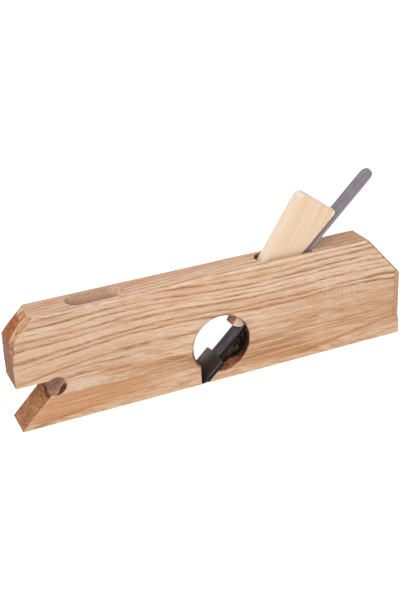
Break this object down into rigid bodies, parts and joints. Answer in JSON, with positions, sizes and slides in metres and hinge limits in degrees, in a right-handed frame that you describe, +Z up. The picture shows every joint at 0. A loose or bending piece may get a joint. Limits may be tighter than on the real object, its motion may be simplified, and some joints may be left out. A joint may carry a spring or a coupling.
{
  "type": "rabbet plane",
  "caption": "Slim wooden rabbet plane: long stock with a round eye, a T-shaped iron flush with both sides, and a wedge that holds it.",
  "frame": {"origin": "middle of the sole", "axes": "+X from the toe to the heel, +Y across the stock, +Z up from the sole"},
  "size_m": [0.24, 0.02, 0.1068],
  "materials": {
    "ash": "oiled, satin, bold straight grain",
    "forged_steel": "forged, dark scale, matt",
    "pale_wood": "bare, fine straight grain"
  },
  "bodies": {
    "stock": {"stock": "ash"},
    "iron": {"iron": "forged_steel"},
    "wedge": {"wedge": "pale_wood"}
  },
  "joints": [
    {"name": "wedge_slide", "type": "slide", "parent": "stock", "child": "wedge", "axis": [0.7314, 0, 0.682], "range_m": [0, 0.07]},
    {"name": "iron_slide", "type": "slide", "parent": "stock", "child": "iron", "axis": [0.7314, 0, 0.682], "range_m": [-0.16, 0.021]}
  ]
}
